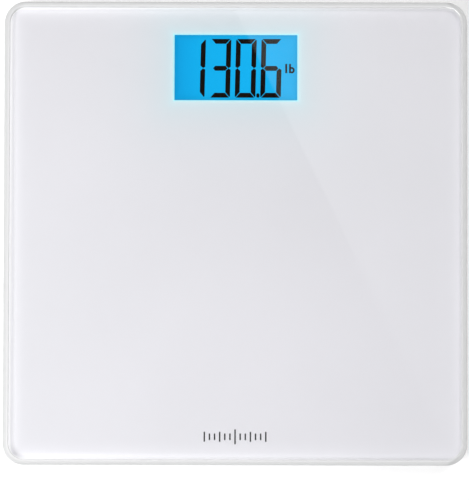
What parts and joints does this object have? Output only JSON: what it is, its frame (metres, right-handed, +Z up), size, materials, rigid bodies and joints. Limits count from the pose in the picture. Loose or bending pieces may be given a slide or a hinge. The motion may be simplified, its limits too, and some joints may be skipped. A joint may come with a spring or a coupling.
{
  "type": "digital bathroom scale",
  "caption": "Square glass platform on sprung load-cell feet, with a backlit weight display, battery bay and unit button in a housing underneath.",
  "frame": {"origin": "on the floor under the middle of the platform, at the underside of the rubber pads", "axes": "+Z up out of the standing face, +Y towards the edge with the display, +X to the right of someone reading it"},
  "size_m": [0.28, 0.28, 0.026],
  "materials": {
    "tempered_glass": "polished, ground and polished edge",
    "white_print": "fired white enamel, slightly cool",
    "black_ink": "matte print",
    "white_shell": "fine moulded texture",
    "foam_tape": "matte foam",
    "lcd_glass": "polished",
    "lcd_blue": "backlit blue polariser",
    "light_guide": "clear acrylic, dotted",
    "led_body": "satin",
    "grey_rubber": "striped, matte",
    "board_laminate": "solder-masked laminate",
    "black_resin": "moulded resin",
    "nickel_steel": "nickel plated",
    "blue_sleeve": "shrunk sleeve",
    "red_plastic": "moulded",
    "grey_plastic": "moulded",
    "battery_label": "printed metal jacket",
    "gauge_resin": "silicone coated",
    "cell_steel": "nickel plated, stamped",
    "black_rubber": "matte, ring grooved",
    "wire_insulation": "soft sheath"
  },
  "bodies": {
    "platform": {"glass_platform": "tempered_glass", "back_print": "white_print", "tick_mark": "black_ink", "display_housing": "white_shell", "housing_adhesive": "foam_tape", "lcd_frame": "white_shell", "lcd_front_glass": "lcd_glass", "lcd_back_glass": "lcd_blue", "backlight_guide": "light_guide", "reflector_film": "white_print", "backlight_leds": "led_body", "zebra_strips": "grey_rubber", "circuit_board": "board_laminate", "controller_chip": "black_resin", "crystal_can": "nickel_steel", "capacitor": "blue_sleeve", "chip_resistors": "black_resin", "board_screws": "nickel_steel", "tact_switch": "black_resin", "battery_1": "battery_label", "battery_2": "battery_label", "battery_3": "battery_label", "battery_springs": "nickel_steel", "contact_plates": "nickel_steel", "foot_bracket_front_left": "white_shell", "foot_bracket_front_right": "white_shell", "foot_bracket_rear_left": "white_shell", "foot_bracket_rear_right": "white_shell", "foot_adhesive": "foam_tape", "load_cell_front_left": "cell_steel", "load_cell_front_right": "cell_steel", "load_cell_rear_left": "cell_steel", "load_cell_rear_right": "cell_steel", "strain_gauges": "gauge_resin", "wires_front_left": "wire_insulation", "wires_front_right": "wire_insulation", "wires_rear_left": "wire_insulation", "wires_rear_right": "wire_insulation", "wire_clips": "white_shell"},
    "unit_button": {"unit_button": "grey_plastic", "switch_plunger": "red_plastic"},
    "battery_door": {"battery_door": "white_shell"},
    "foot_front_left": {"foot_cup_front_left": "white_shell", "foot_pad_front_left": "black_rubber"},
    "foot_front_right": {"foot_cup_front_right": "white_shell", "foot_pad_front_right": "black_rubber"},
    "foot_rear_left": {"foot_cup_rear_left": "white_shell", "foot_pad_rear_left": "black_rubber"},
    "foot_rear_right": {"foot_cup_rear_right": "white_shell", "foot_pad_rear_right": "black_rubber"}
  },
  "joints": [
    {"name": "foot_front_left_press", "type": "slide", "parent": "platform", "child": "foot_front_left", "axis": [0, 0, 1], "range_m": [0, 0.0006], "stiffness_N_per_m": 820000, "deforming": ["load_cell_front_left"]},
    {"name": "foot_front_right_press", "type": "slide", "parent": "platform", "child": "foot_front_right", "axis": [0, 0, 1], "range_m": [0, 0.0006], "stiffness_N_per_m": 820000, "deforming": ["load_cell_front_right"]},
    {"name": "foot_rear_left_press", "type": "slide", "parent": "platform", "child": "foot_rear_left", "axis": [0, 0, 1], "range_m": [0, 0.0006], "stiffness_N_per_m": 820000, "deforming": ["load_cell_rear_left"]},
    {"name": "foot_rear_right_press", "type": "slide", "parent": "platform", "child": "foot_rear_right", "axis": [0, 0, 1], "range_m": [0, 0.0006], "stiffness_N_per_m": 820000, "deforming": ["load_cell_rear_right"]},
    {"name": "unit_button_press", "type": "slide", "parent": "platform", "child": "unit_button", "axis": [0, 0, 1], "range_m": [0, 0.0005], "stiffness_N_per_m": 3000, "springref_m": -0.0002},
    {"name": "battery_door_slide", "type": "slide", "parent": "platform", "child": "battery_door", "axis": [0, -1, 0], "range_m": [0, 0.033]}
  ]
}
